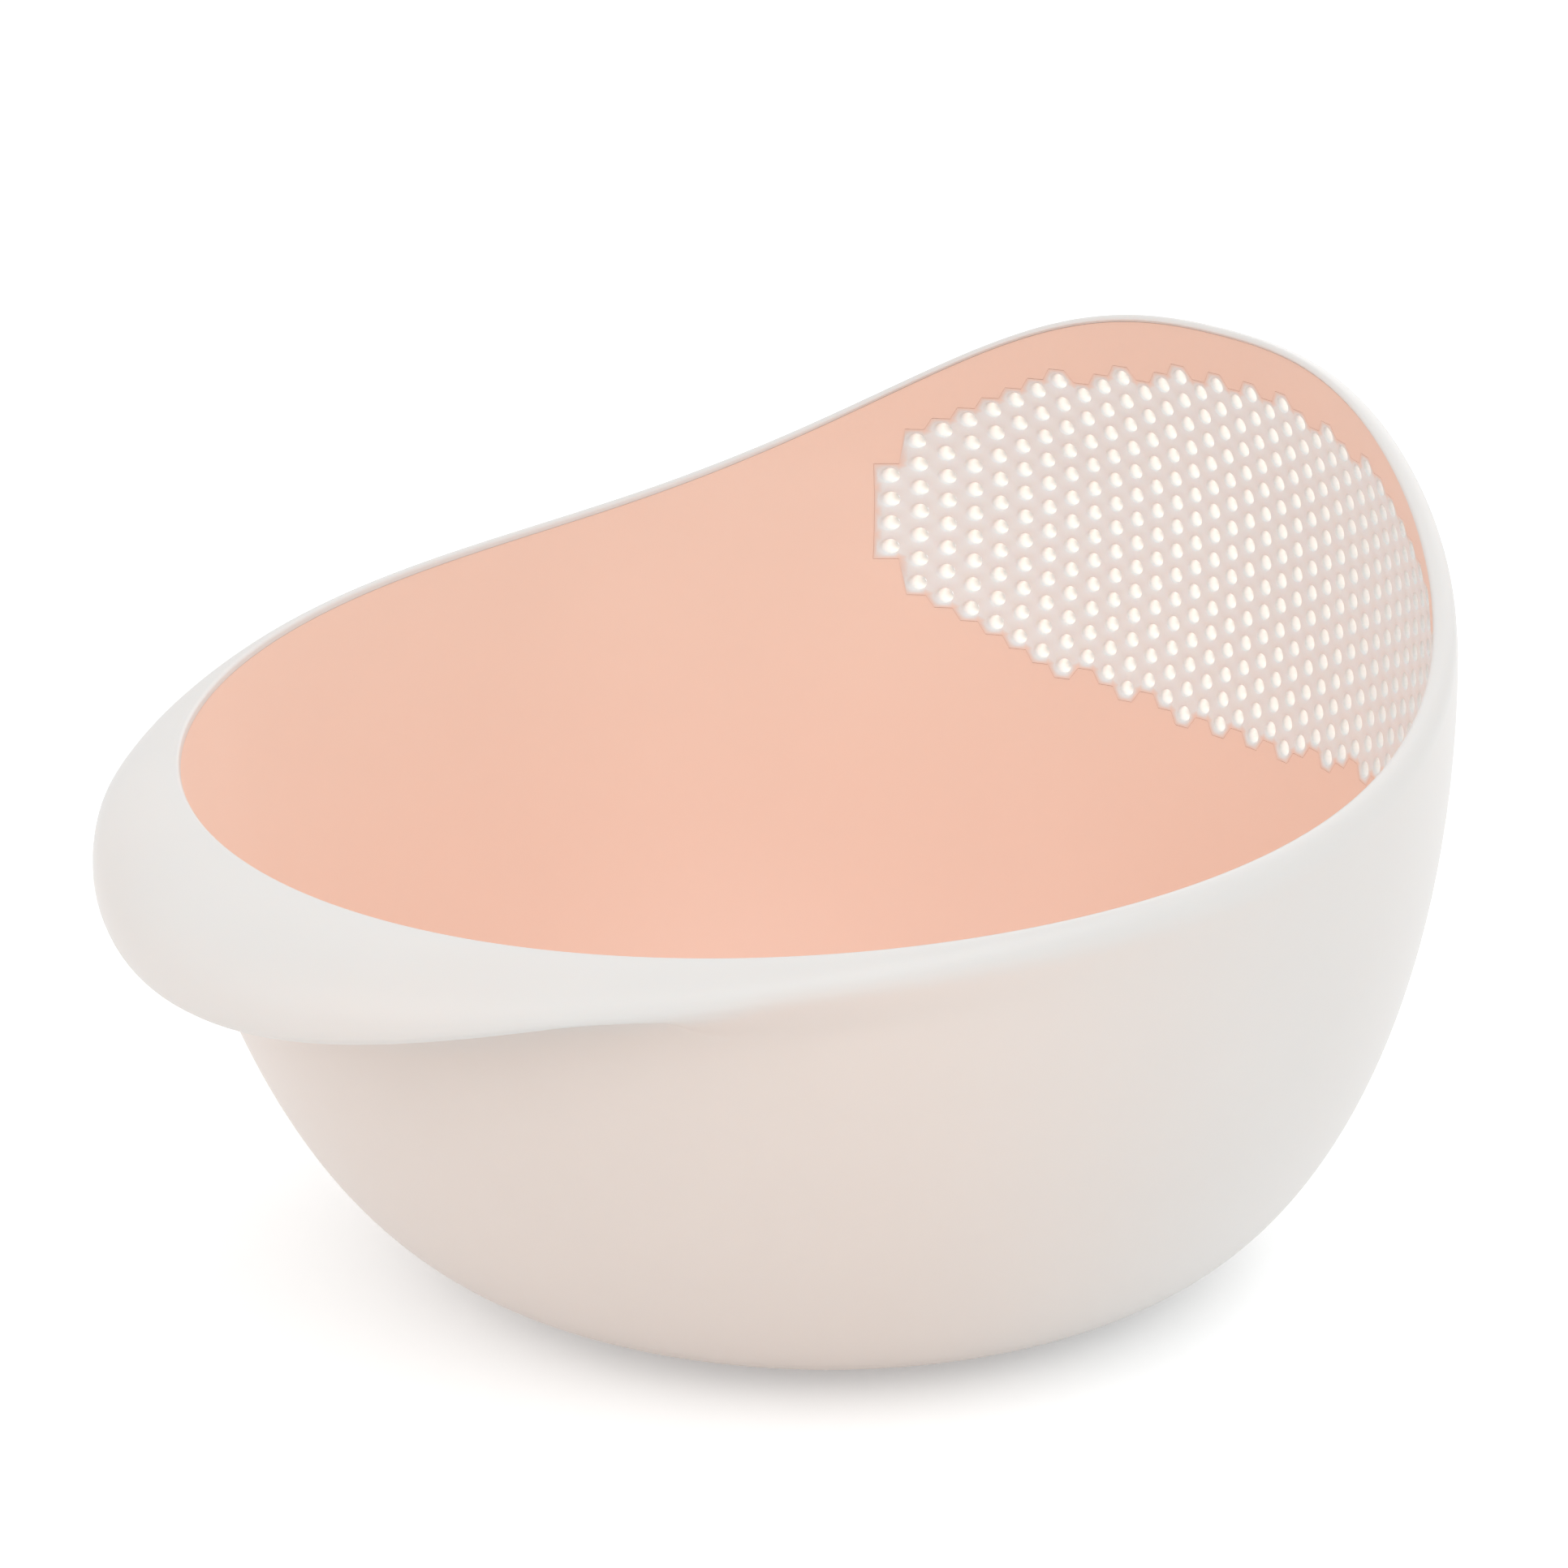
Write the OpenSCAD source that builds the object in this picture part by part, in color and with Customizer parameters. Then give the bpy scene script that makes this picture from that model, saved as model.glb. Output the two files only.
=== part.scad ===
// Two-colour basket for washing rice: a white outer shell with a flared lip as its handle
// and a perforated drain wall opposite, and a pink inner liner that also makes the foot.
// Heights named _h are measured from the shell's lower edge. The foot stands on z = 0,
// the handle points along -Y and the drain wall along +Y. Angles run from +Y towards +X.

/* [Body] */
// Largest radius of the shell, at its belly
belly_r = 102.5; // [92:0.5:112]
// Height of the belly
belly_h = 100.5; // [90:0.5:110]
// Radius of the shell's lower edge
foot_r = 54; // [46:0.5:62]
// How far the wall comes in again between the belly and the crest of the drain wall
crest_in = 6.2; // [3:0.1:10]
// How far the body leans towards the handle, between its lower edge and the belly
lean = 5.6; // [0:0.2:9]

/* [Rim] */
// Height of the rim at the handle
front_h = 81.2; // [72:0.2:88]
// Even rise of the rim from the handle to the drain wall
side_rise = 16.8; // [10:0.2:24]
// Steep rise of the rim at the drain wall
crest_rise = 37.2; // [28:0.2:44]
// Height of the white band inside the rim
band_h = 1.1; // [1:0.1:3]
// Rounding of the rim's inner edge
rim_edge = 0.7; // [0.4:0.1:0.9]
// Drop of the rounded rim from its inner edge to the outer wall, away from the handle
rim_drop = 4; // [3:0.2:6]

/* [Walls] */
// Wall of the outer shell
shell_t = 1.8; // [1.4:0.1:2.4]
// Wall of the inner liner
liner_t = 1.4; // [1:0.1:2]
// Floor of the liner
floor_t = 2.2; // [1.6:0.1:3]
// Gap between the shell and the liner
fit_gap = 0.2; // [0.1:0.05:0.3]
// Width of the seat that the liner rests on, inside the shell's lower edge
seat_w = 4; // [3:0.5:5]

/* [Handle lip] */
// How far the lip stands out from the wall at its middle
lip_reach = 18.8; // [12:0.2:24]
// Drop of the lip's curled edge below the rim at its middle
lip_drop = 15.4; // [11:0.2:20]
// Wall of the lip
lip_t = 2.2; // [1.8:0.1:2.8]
// Angle from the lip's middle to where its reach fades out
reach_angle = 99; // [90:1:108]
// Angle from the lip's middle to where its drop fades out
drop_angle = 67; // [60:1:76]

/* [Drain wall] */
// Diameter of a drain hole
hole_d = 2.6; // [2:0.1:3]
// Height from one hole to the next in a column
row_pitch = 4.34; // [4:0.02:5]
// Distance from one column of holes to the next
column_pitch = 4.06; // [3.8:0.02:4.6]
// Half the width of the hole field
field_w = 67.4; // [50:0.2:72]
// Half the height of the hole field
field_h = 31; // [20:0.2:34]
// Solid wall between the top of the hole field and the crest
field_margin = 9.6; // [7:0.2:16]
// Rise of the holes from the inside to the outside
hole_tilt = 3.8; // [0:0.2:6]

/* [Foot] */
// How far the foot ring stands below the shell
foot_h = 2.2; // [1.5:0.1:3.5]
// Width of the foot ring
foot_w = 5; // [4:0.5:8]
// Chamfer of the foot ring's edges
foot_edge = 0.6; // [0.3:0.1:1]

/* [Hidden] */

shell_colour = [0.93, 0.915, 0.895];
liner_colour = [0.95, 0.77, 0.69];

// Sections around the body, and points up each wall, under the lip and over its top
sections = 72;
wall_steps = 11;
under_steps = 4;
top_steps = 5;
// Rows of facets up the drain panel, an odd number so that no edge between two rows runs
// through the middle of a hole
panel_rows = 7;
// Sides of a drain hole
hole_sides = 20;

// Exponents of the curves: the wall above the belly, the late rise and rounded crest of the
// rim, the fading of the lip's reach and drop, and the closer points near the foot
crest_curve = 1.63;
late_rise = 7.5;
round_crest = 1.55;
reach_fade = 5.8;
drop_fade = 5;
low_bias = 1.7;

// Step between the wall and the lip's edge where the lip has faded out
blend_h = 0.6;
// Overrun of cuts past the walls that they open
overrun = 1;
// How far joined forms reach into each other
bury = 0.6;
// Gap between the drain panel and the edge of the liner's window
panel_gap = 0.3;

// Insets from the shell's outer face to the liner's outer face and to its inner face
liner_out = shell_t + fit_gap;
full_t = liner_out + liner_t;
crest_h = front_h + side_rise + crest_rise;
// Height of the middle of the hole field
field_mid_h = crest_h - field_margin - field_h;

// Radius at height z of the face that lies an inset t inside the shell's outer face:
// a quarter ellipse up to the belly and a slow curve inwards above it
function wall_r(z, t) =
    z < belly_h
    ? foot_r + (belly_r - t - foot_r)
        * sqrt(1 - pow((belly_h - max(z, t)) / (belly_h - t), 2))
    : belly_r - t - crest_in * pow((z - belly_h) / (crest_h - belly_h), crest_curve);

// Where the middle of the body lies at height z
function middle_y(z) = -lean * z / belly_h;

// The point at angle a, radius r and height z
function around(a, p) =
    [p[0] * sin(a), middle_y(p[1]) + p[0] * cos(a), p[1] + foot_h];

function mix(p, q, s) = p + (q - p) * s;
function clamp(s) = min(1, max(0, s));
function ease(s) = s * s * (3 - 2 * s);
function fade(a, span, power) = pow(max(0, 1 - pow((180 - a) / span, 2)), power);

// Height of the rim at angle a
function rim_at(a) =
    let (s = (1 + cos(a)) / 2)
    front_h + side_rise * s
        + crest_rise * (1 - pow(1 - pow(s, late_rise), round_crest));

function lip_out(a) = lip_reach * fade(a, reach_angle, reach_fade);
function lip_down(a) = rim_drop + (lip_drop - rim_drop) * fade(a, drop_angle, drop_fade);

// Heights from low to high, closer together near the foot
function wall_heights(low, high) =
    [for (k = [0:wall_steps]) low + (high - low) * pow(k / wall_steps, low_bias)];

function wall_points(low, high, t) =
    [for (z = wall_heights(low, high)) [wall_r(z, t), z]];

function reversed(list) = [for (k = [len(list) - 1:-1:0]) list[k]];
function tail(list) = [for (k = [1:len(list) - 1]) list[k]];

// Half section of the shell at angle a, from its lower edge up the outer wall, under and
// over the lip, and down the inside to the seat
function shell_section(a) =
    let (
        rim = rim_at(a),
        edge_z = rim - lip_down(a),
        edge = [wall_r(edge_z, 0) + lip_out(a), edge_z],
        root = [wall_r(edge_z - blend_h, 0), edge_z - blend_h],
        inner_r = wall_r(rim, full_t),
        top_r = inner_r + rim_edge,
        band_z = rim - band_h,
        // the hollow under the lip follows the lip's top at the lip's wall
        hollow_w = max(edge[0] - top_r - lip_t, rim_edge),
        hollow_h = lip_down(a) - lip_t,
        wall_w = wall_r(edge_z + hollow_h, 0) - top_r,
        reach_up = acos(clamp(wall_w / hollow_w)),
        open_share = ease(clamp((lip_out(a) / lip_t - 1) / 2))
    )
    concat(
        wall_points(0, root[1], 0),
        [for (k = [under_steps:-1:0])
            let (
                q = reach_up * k / under_steps,
                hollow = [top_r + hollow_w * cos(q), edge_z + hollow_h * sin(q)],
                shut = mix(edge, root, (k + 1) / (under_steps + 2))
            )
            mix(shut, hollow, open_share)],
        [for (k = [0:top_steps])
            let (q = 90 * k / top_steps)
            [top_r + (edge[0] - top_r) * cos(q), edge_z + lip_down(a) * sin(q)]],
        [[inner_r + rim_edge * (1 - sin(45)), rim - rim_edge * (1 - cos(45))],
            [inner_r, rim - rim_edge],
            [wall_r(band_z, full_t), band_z]],
        reversed(tail(wall_points(shell_t, band_z, shell_t))),
        [[foot_r + seat_w, shell_t], [foot_r, shell_t]]
    );

// Half section of the liner at angle a, from the middle of its floor up the inside, over
// its edge and down the outside to its shoulder and underside
function liner_section(a) =
    let (edge_z = rim_at(a) - band_h - fit_gap)
    concat(
        [[foot_r / 2, full_t]],
        wall_points(full_t, edge_z, full_t),
        reversed(tail(wall_points(liner_out, edge_z, liner_out))),
        [[foot_r + seat_w, shell_t],
            [foot_r - fit_gap, shell_t],
            [foot_r - fit_gap, full_t - floor_t],
            [foot_r / 2, full_t - floor_t]]
    );

// The holes run along straight lines in the Y-Z plane. Each is named by its distance x
// from the middle and by its height w where it passes slide_y.
slide_y = wall_r(field_mid_h, 0) + middle_y(field_mid_h);
columns = floor(field_w / column_pitch);
half_row = row_pitch / 2;

// Height at which the line through w passes y
function slide_z(w, y) = w + (y - slide_y) * tan(hole_tilt);

// Where the line at x and w meets the face at inset t, found in a few tries
function wall_y(x, w, t, y = slide_y, tries = 3) =
    let (z = slide_z(w, y), met = middle_y(z) + sqrt(pow(wall_r(z, t), 2) - x * x))
    tries == 0 ? met : wall_y(x, w, t, met, tries - 1);

// Half rows from the middle of the field to the last hole of column k. Every second
// column is set off by half a row, and the field ends on an ellipse.
function last_half_row(k) =
    let (
        offset = (abs(k) + 1) % 2,
        reach = field_h * sqrt(1 - pow(k * column_pitch / field_w, 2)) / half_row
    )
    2 * floor((reach - offset) / 2) + offset;

// Corners of the panel around the holes: above and below each column the edge is flat,
// and it steps by half a row between columns
function panel_corners(margin) =
    [for (k = [-columns:columns], side = [-1, 1])
        let (
            beyond = k * side == columns ? column_pitch / 2 + margin : column_pitch / 3,
            reach = (last_half_row(k) + 1) * half_row + margin
        )
        [k * column_pitch + side * beyond, reach]];

// Points of the face at inset t within the panel's edge
function panel_face(t, margin) =
    [for (corner = panel_corners(margin), v = [0:panel_rows])
        let (
            w = field_mid_h + corner[1] * (2 * v / panel_rows - 1),
            y = wall_y(corner[0], w, t)
        )
        [corner[0], y, slide_z(w, y) + foot_h]];

// The wall between two insets within the panel's edge
module panel(inner_t, outer_t, margin) {
    across = 2 * (2 * columns + 1);
    up = panel_rows + 1;
    back = across * up;
    points = concat(panel_face(inner_t, margin), panel_face(outer_t, margin));
    walls = [for (u = [0:across - 2], v = [0:up - 2])
        let (p = u * up + v, q = p + up)
        each [[p, p + 1, q + 1], [p, q + 1, q],
            [back + p, back + q + 1, back + p + 1], [back + p, back + q, back + q + 1]]];
    ends = [for (u = [0, across - 1], v = [0:up - 2])
        let (p = u * up + v)
        each edge_faces([p, back + p, back + p + 1, p + 1], u == 0)];
    rims = [for (v = [0, up - 1], u = [0:across - 2])
        let (p = u * up + v)
        each edge_faces([p, p + up, back + p + up, back + p], v == 0)];
    polyhedron(points, concat(walls, ends, rims));
}

// Two faces on four corners, turned outwards on either side
function edge_faces(c, first) =
    first ? [[c[0], c[1], c[2]], [c[0], c[2], c[3]]]
    : [[c[2], c[1], c[0]], [c[3], c[2], c[0]]];

// All drain holes, as pins that pass through the drain wall from inside
module drain_pins() {
    inside = slide_y - wall_y(columns * column_pitch, field_mid_h, full_t) + 2 * overrun;
    for (k = [-columns:columns])
        for (j = [-last_half_row(k):2:last_half_row(k)])
            translate([k * column_pitch, slide_y, field_mid_h + j * half_row + foot_h])
                rotate([hole_tilt - 90, 0, 0])
                    translate([0, 0, -inside])
                        cylinder(d = hole_d, h = inside + 2 * overrun, $fn = hole_sides);
}

module outer_shell() {
    color(shell_colour) difference() {
        union() {
            ring_loft([for (i = [0:sections - 1]) shell_section(turn_of(i))]);
            panel(full_t, shell_t - bury, 0);
        }
        drain_pins();
    }
}

module inner_liner() {
    color(liner_colour) difference() {
        union() {
            bowl_loft([for (i = [0:sections - 1]) liner_section(turn_of(i))]);
            foot_ring();
        }
        panel(full_t + overrun, liner_out - overrun, panel_gap);
    }
}

// Ring under the liner that passes through the shell's lower edge and stands on the table
module foot_ring() {
    outer = foot_r - fit_gap - foot_edge;
    top = foot_h + full_t - floor_t + bury;
    rotate_extrude($fn = sections)
        polygon([[outer - foot_w, top],
            [outer - foot_w, foot_edge],
            [outer - foot_w + foot_edge, 0],
            [outer - foot_edge, 0],
            [outer, foot_edge],
            [outer, top]]);
}

function turn_of(i) = 360 * i / sections;

function loft_points(rings) =
    [for (i = [0:len(rings) - 1], p = rings[i]) around(turn_of(i), p)];

// Faces between neighbouring sections of count points, up to point last
function loft_faces(count, last) =
    [for (i = [0:sections - 1], j = [0:last])
        let (
            here = i * count,
            next = (i + 1) % sections * count,
            up = (j + 1) % count
        )
        each [[here + j, next + j, next + up], [here + j, next + up, here + up]]];

// A closed ring of sections around the body
module ring_loft(rings) {
    count = len(rings[0]);
    polyhedron(loft_points(rings), loft_faces(count, count - 1));
}

// Sections around the body that start and end at its middle
module bowl_loft(rings) {
    count = len(rings[0]);
    floor_top = len(rings) * count;
    ends = [for (i = [0:sections - 1])
        let (here = i * count, next = (i + 1) % sections * count)
        each [[floor_top, here, next],
            [floor_top + 1, next + count - 1, here + count - 1]]];
    middles = [around(0, [0, rings[0][0][1]]), around(0, [0, rings[0][count - 1][1]])];
    polyhedron(concat(loft_points(rings), middles),
        concat([for (f = loft_faces(count, count - 2)) [f[2], f[1], f[0]]], ends));
}

outer_shell();
inner_liner();
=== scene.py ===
"""Looks of a two-colour basket for washing rice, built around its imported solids.

Sizes are in millimetres, as on a maker's drawing, and become metres when a mesh is made.
Angles run from +Y, the drain wall, towards +X. Heights are measured from the shell's lower
edge, which the foot ring lifts off the table.
"""

import logging
import math
from dataclasses import dataclass, field
from enum import Enum

import bmesh
import bpy
import numpy as np
from mathutils import Matrix, Vector
from mathutils.geometry import delaunay_2d_cdt


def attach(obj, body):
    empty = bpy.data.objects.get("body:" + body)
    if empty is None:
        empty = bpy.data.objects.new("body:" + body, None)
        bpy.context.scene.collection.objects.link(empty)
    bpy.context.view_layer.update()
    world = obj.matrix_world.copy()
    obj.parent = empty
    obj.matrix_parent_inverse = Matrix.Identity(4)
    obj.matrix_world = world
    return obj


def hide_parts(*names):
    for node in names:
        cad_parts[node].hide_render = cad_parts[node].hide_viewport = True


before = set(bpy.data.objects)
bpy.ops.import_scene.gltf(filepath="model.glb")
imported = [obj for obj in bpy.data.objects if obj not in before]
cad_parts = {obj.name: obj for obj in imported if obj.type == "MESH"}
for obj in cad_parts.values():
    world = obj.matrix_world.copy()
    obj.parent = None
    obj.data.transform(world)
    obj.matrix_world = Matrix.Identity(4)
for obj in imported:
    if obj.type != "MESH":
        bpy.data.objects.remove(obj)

logging.basicConfig(level=logging.INFO, format="%(message)s")
LOG = logging.getLogger("basket")

MM = 0.001
MEETING = 1e-7
SLIVER_SHARE = 1e-7
SHARP_DEGREES = 34.0
SENSOR_MM = 36.0

Colour = tuple[float, float, float, float]
WHITE: Colour = (1.0, 1.0, 1.0, 1.0)
BLACK: Colour = (0.0, 0.0, 0.0, 1.0)


def ease(share: np.ndarray | float) -> np.ndarray:
    """Smooth step of a share that is first kept between 0 and 1."""
    kept = np.clip(share, 0.0, 1.0)
    return kept * kept * (3.0 - 2.0 * kept)


@dataclass(frozen=True)
class Ramp:
    """A smooth change from 0 to 1 over a span of some measure."""

    start: float
    span: float

    def at(self, value: np.ndarray | float) -> np.ndarray:
        """Share that is reached at each value."""
        return ease((value - self.start) / self.span)


def towards(turn: float, lift: float) -> Vector:
    """Outward direction at an azimuth, from -Y towards +X, and a height, in radians."""
    level = math.cos(lift)
    return Vector((math.sin(turn) * level, -math.cos(turn) * level, math.sin(lift)))


def linear(red: float, green: float, blue: float) -> Colour:
    """Turns a display colour from 0 to 255 into the linear colour that shaders take.

    Args:
        red: Red as displayed.
        green: Green as displayed.
        blue: Blue as displayed.

    Returns:
        The linear colour with an alpha of 1.
    """
    shares = [value / 255.0 for value in (red, green, blue)]
    out = [c / 12.92 if c <= 0.04045 else ((c + 0.055) / 1.055) ** 2.4 for c in shares]
    return (out[0], out[1], out[2], 1.0)


@dataclass(frozen=True)
class BodyForm:
    """The body's sizes and the curves that the shell and the liner share."""

    belly_r: float = 102.44
    belly_h: float = 100.5
    foot_r: float = 54.0
    foot_h: float = 2.2
    crest_in: float = 6.2
    lean: float = 5.6
    front_h: float = 81.2
    side_rise: float = 16.8
    crest_rise: float = 37.2
    band_h: float = 1.1
    shell_t: float = 1.8
    fit_gap: float = 0.2
    liner_t: float = 1.4
    seat_w: float = 4.0
    crest_curve: float = 1.63
    late_rise: float = 7.5
    round_crest: float = 1.55
    sections: int = 240

    @property
    def full_t(self) -> float:
        """Both walls and the gap between them."""
        return self.shell_t + self.fit_gap + self.liner_t

    @property
    def crest_h(self) -> float:
        """Height of the rim at the drain wall."""
        return self.front_h + self.side_rise + self.crest_rise

    def angles(self) -> np.ndarray:
        """Angles of the sections around the body."""
        return np.arange(self.sections) * (2.0 * math.pi / self.sections)

    def radius(self, height: np.ndarray, inset: float) -> np.ndarray:
        """Radius of the face that lies an inset inside the shell's outer face.

        Args:
            height: Heights above the shell's lower edge.
            inset: Distance inside the outer face.

        Returns:
            A radius for each height.
        """
        z = np.asarray(height, float)
        deep = self.belly_h - inset
        drop = (self.belly_h - np.maximum(z, inset)) / deep
        low = self.foot_r + (self.belly_r - inset - self.foot_r) * np.sqrt(
            np.maximum(1.0 - drop**2, 0.0)
        )
        rise = np.maximum(z - self.belly_h, 0.0) / (self.crest_h - self.belly_h)
        high = self.belly_r - inset - self.crest_in * rise**self.crest_curve
        return np.where(z < self.belly_h, low, high)

    def middle_y(self, height: np.ndarray) -> np.ndarray:
        """Where the middle of the leaning body lies at each height."""
        return -self.lean * np.maximum(height, 0.0) / self.belly_h

    def rim(self, angle: np.ndarray) -> np.ndarray:
        """Height of the rim, low at the handle and with a rounded crest at the drain wall.

        Args:
            angle: Angles around the body.

        Returns:
            A height for each angle.
        """
        share = (1.0 + np.cos(angle)) / 2.0
        late = 1.0 - (1.0 - share**self.late_rise) ** self.round_crest
        return self.front_h + self.side_rise * share + self.crest_rise * late

    def heights(self, low: float, top: np.ndarray, rows: int) -> np.ndarray:
        """Heights up a wall, evenly spaced along its curve.

        Args:
            low: Inset of the face, which is also the height where it starts.
            top: Height where each section ends.
            rows: Number of steps.

        Returns:
            An array of sections by rows + 1 heights.
        """
        deep = self.belly_h - low
        bend = np.arccos(np.clip((self.belly_h - top) / deep, 0.0, 1.0)) * deep
        length = bend + np.maximum(top - self.belly_h, 0.0)
        along = length[:, None] * np.linspace(0.0, 1.0, rows + 1)[None, :]
        turn = np.minimum(along / deep, math.pi / 2.0)
        over = np.maximum(along - deep * math.pi / 2.0, 0.0)
        return self.belly_h - deep * np.cos(turn) + over

    def place(self, angle: np.ndarray, profile: np.ndarray) -> np.ndarray:
        """Points of sections around the body.

        Args:
            angle: One angle for each section.
            profile: Radii and heights, sections by points by 2.

        Returns:
            Sections by points by 3, in the part's frame.
        """
        r, z = profile[..., 0], profile[..., 1]
        turn = angle[:, None]
        x = r * np.sin(turn)
        y = self.middle_y(z) + r * np.cos(turn)
        return np.stack([x, y, z + self.foot_h], -1)


@dataclass(frozen=True)
class DrainField:
    """The drain holes and the edge of the panel around them.

    A place in the field is a distance x from the middle and the height w at which the
    hole's straight line passes slide_y.
    """

    body: BodyForm = field(default_factory=BodyForm)
    hole_d: float = 2.6
    hole_edge: float = 0.28
    row_pitch: float = 4.34
    column_pitch: float = 4.06
    field_w: float = 67.4
    field_h: float = 31.0
    mid_h: float = 94.6
    tilt: float = 3.8
    hole_sides: int = 20
    edge_steps: int = 2
    edge_reach_share: float = 1.0 / 3.0
    end_step: float = 2.2
    clear_w: float = 72.0
    clear_h: float = 34.0
    slide_rounds: int = 8
    far_away: float = 9.0

    @property
    def slide_y(self) -> float:
        """Where the holes' heights are named."""
        return float(self.body.radius(self.mid_h, 0.0) + self.body.middle_y(self.mid_h))

    @property
    def columns(self) -> int:
        """Columns on each side of the middle one."""
        return int(self.field_w // self.column_pitch)

    def last_half_row(self, column: int) -> int:
        """Half rows from the field's middle to the last hole of a column.

        Args:
            column: The column's number, 0 in the middle.

        Returns:
            An odd number in every second column, which is set off by half a row.
        """
        offset = (abs(column) + 1) % 2
        width = 1.0 - (column * self.column_pitch / self.field_w) ** 2
        reach = self.field_h * math.sqrt(width) / (self.row_pitch / 2.0)
        return 2 * int((reach - offset) // 2) + offset

    def holes(self) -> np.ndarray:
        """Places of all the holes, column by column.

        Returns:
            A place x and w for each hole, one row each.
        """
        return np.array(
            [
                (k * self.column_pitch, self.mid_h + j * self.row_pitch / 2.0)
                for k in range(-self.columns, self.columns + 1)
                for j in range(-self.last_half_row(k), self.last_half_row(k) + 1, 2)
            ]
        )

    def outline(self, margin: float) -> np.ndarray:
        """The panel's edge, stepping by half a row between columns.

        Args:
            margin: Distance outside the panel's own edge.

        Returns:
            Places around the edge, one row each.
        """
        top = []
        for k in range(-self.columns, self.columns + 1):
            reach = (self.last_half_row(k) + 1) * self.row_pitch / 2.0 + margin
            for side in (-1, 1):
                beyond = self.column_pitch * self.edge_reach_share
                if k * side == self.columns:
                    beyond = self.column_pitch / 2.0 + margin
                x = k * self.column_pitch + side * beyond
                top.append((x, reach))
        steps = math.ceil(2.0 * top[0][1] / self.end_step)
        upright = np.linspace(-1.0, 1.0, steps + 1)[1:-1]
        left = [(top[0][0], share * top[0][1]) for share in upright]
        right = [(top[-1][0], -share * top[-1][1]) for share in upright]
        under = [(x, -reach) for x, reach in reversed(top)]
        places = np.array(top + right + under + left)
        places[:, 1] += self.mid_h
        return places

    def on_wall(self, places: np.ndarray, inset: np.ndarray) -> np.ndarray:
        """Points of a face at places in the field.

        Args:
            places: Places x and w in the last axis.
            inset: Inset of the face, one value or one for each place.

        Returns:
            Points in the part's frame.
        """
        x, w = places[..., 0], places[..., 1]
        slope = math.tan(math.radians(self.tilt))
        y = np.full(x.shape, self.slide_y)
        for _ in range(self.slide_rounds):
            z = w + (y - self.slide_y) * slope
            r = self.wall_radius(z, inset)
            y = self.body.middle_y(z) + np.sqrt(np.maximum(r * r - x * x, 0.0))
        z = w + (y - self.slide_y) * slope
        return np.stack([x, y, z + self.body.foot_h], -1)

    def wall_radius(self, height: np.ndarray, inset: np.ndarray) -> np.ndarray:
        """Radius for insets that differ from place to place, above the foot."""
        return self.body.radius(height, 0.0) - inset

    def places_of(self, points: np.ndarray) -> np.ndarray:
        """Places of points, the other way round from on_wall.

        Args:
            points: Points in the part's frame.

        Returns:
            Places x and w in the last axis.
        """
        slope = math.tan(math.radians(self.tilt))
        height = points[..., 2] - self.body.foot_h
        w = height - (points[..., 1] - self.slide_y) * slope
        return np.stack([points[..., 0], w], -1)

    def nearness(self, points: np.ndarray, width: float, height: float) -> np.ndarray:
        """Distance from the field's middle, 1 on an ellipse of a given size.

        Args:
            points: Points in the part's frame.
            width: Half the ellipse's width.
            height: Half the ellipse's height.

        Returns:
            A value for each point, and a large one on the handle's side.
        """
        place = self.places_of(points)
        far = np.hypot(place[..., 0] / width, (place[..., 1] - self.mid_h) / height)
        return np.where(points[..., 1] > 0.0, far, self.far_away)

    def rings(self) -> list[tuple[float, float]]:
        """The rings that round a hole's edge, from the face inwards.

        Returns:
            A radius and a depth for each ring.
        """
        out = []
        for step in range(self.edge_steps + 1):
            turn = math.pi / 2.0 * step / self.edge_steps
            radius = self.hole_d / 2.0 + self.hole_edge * (1.0 - math.sin(turn))
            out.append((radius, self.hole_edge * (1.0 - math.cos(turn))))
        return out


def in_polygon(points: np.ndarray, corners: np.ndarray) -> np.ndarray:
    """Says which points lie inside a closed polygon.

    Args:
        points: Points, one row each.
        corners: The polygon's corners in order.

    Returns:
        True for each point inside.
    """
    inside = np.zeros(len(points), bool)
    x, y = points[:, 0], points[:, 1]
    for (x0, y0), (x1, y1) in zip(corners, np.roll(corners, -1, axis=0)):
        if y0 == y1:
            continue
        crosses = (y0 > y) != (y1 > y)
        inside ^= crosses & (x < (x1 - x0) * (y - y0) / (y1 - y0) + x0)
    return inside


def settle_slivers(flat: np.ndarray, triangles: np.ndarray, kept: np.ndarray) -> None:
    """Gives each triangle without width the choice made for the one on its long side.

    Three points in line can leave such a triangle, and its middle lies on the border.

    Args:
        flat: Flat places of the points.
        triangles: Point numbers of the triangles, one row each.
        kept: Whether each triangle stays, which is changed in place.
    """
    corners = flat[triangles]
    sides = np.roll(corners, -1, axis=1) - corners
    lengths = np.linalg.norm(sides, axis=2)
    reach, longest = lengths.max(axis=1), lengths.argmax(axis=1)
    area = np.abs(sides[:, 0, 0] * sides[:, 1, 1] - sides[:, 0, 1] * sides[:, 1, 0])
    beside: dict[tuple[int, int], list[int]] = {}
    for number, triangle in enumerate(triangles.tolist()):
        for a, b in zip(triangle, triangle[1:] + triangle[:1]):
            beside.setdefault((min(a, b), max(a, b)), []).append(number)
    slivers = np.flatnonzero(area < SLIVER_SHARE * reach**2)
    for number in slivers[np.argsort(-reach[slivers], kind="stable")]:
        a = int(triangles[number, longest[number]])
        b = int(triangles[number, (longest[number] + 1) % 3])
        others = beside[(min(a, b), max(a, b))]
        kept[number] = any(kept[other] for other in others if other != number)


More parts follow.
